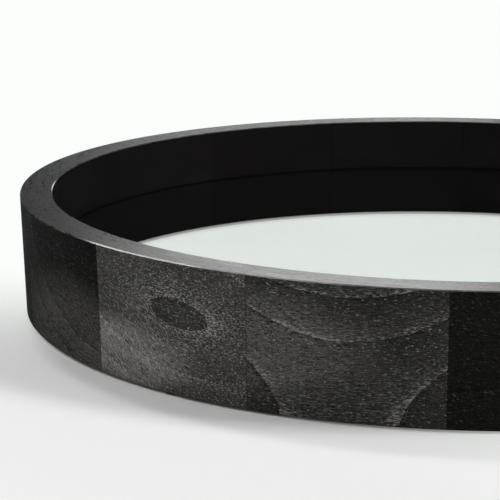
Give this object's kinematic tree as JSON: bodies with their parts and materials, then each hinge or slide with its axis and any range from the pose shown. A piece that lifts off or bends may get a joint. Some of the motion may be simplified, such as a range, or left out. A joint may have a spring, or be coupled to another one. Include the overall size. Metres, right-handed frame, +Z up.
{
  "type": "serving tray",
  "caption": "Round serving tray: a low ring of glued, black-stained wooden staves around a sunk mirror floor, on a grooved-in base board with felt pads.",
  "frame": {"origin": "on the surface that the tray stands on, at the centre of the ring", "axes": "+Z up along the axis of the ring; +X along one of the joints between two staves"},
  "size_m": [0.457, 0.457, 0.0625],
  "materials": {
    "stained_wood": "open-pored wood, black stain, satin",
    "stained_board": "smooth fibreboard, black stain, matt",
    "foam_tape": "white foam mounting tape",
    "silvering": "silver coat with grey backing paint",
    "mirror_glass": "clear float glass, ground edge",
    "felt": "black wool felt"
  },
  "bodies": {
    "root": {"stave_01": "stained_wood", "stave_02": "stained_wood", "stave_03": "stained_wood", "stave_04": "stained_wood", "stave_05": "stained_wood", "stave_06": "stained_wood", "stave_07": "stained_wood", "stave_08": "stained_wood", "stave_09": "stained_wood", "stave_10": "stained_wood", "stave_11": "stained_wood", "stave_12": "stained_wood", "stave_13": "stained_wood", "stave_14": "stained_wood", "stave_15": "stained_wood", "stave_16": "stained_wood", "base_board": "stained_board", "mounting_tape": "foam_tape", "mirror_silvering": "silvering", "mirror_glass": "mirror_glass", "foot_felts": "felt"}
  },
  "joints": []
}
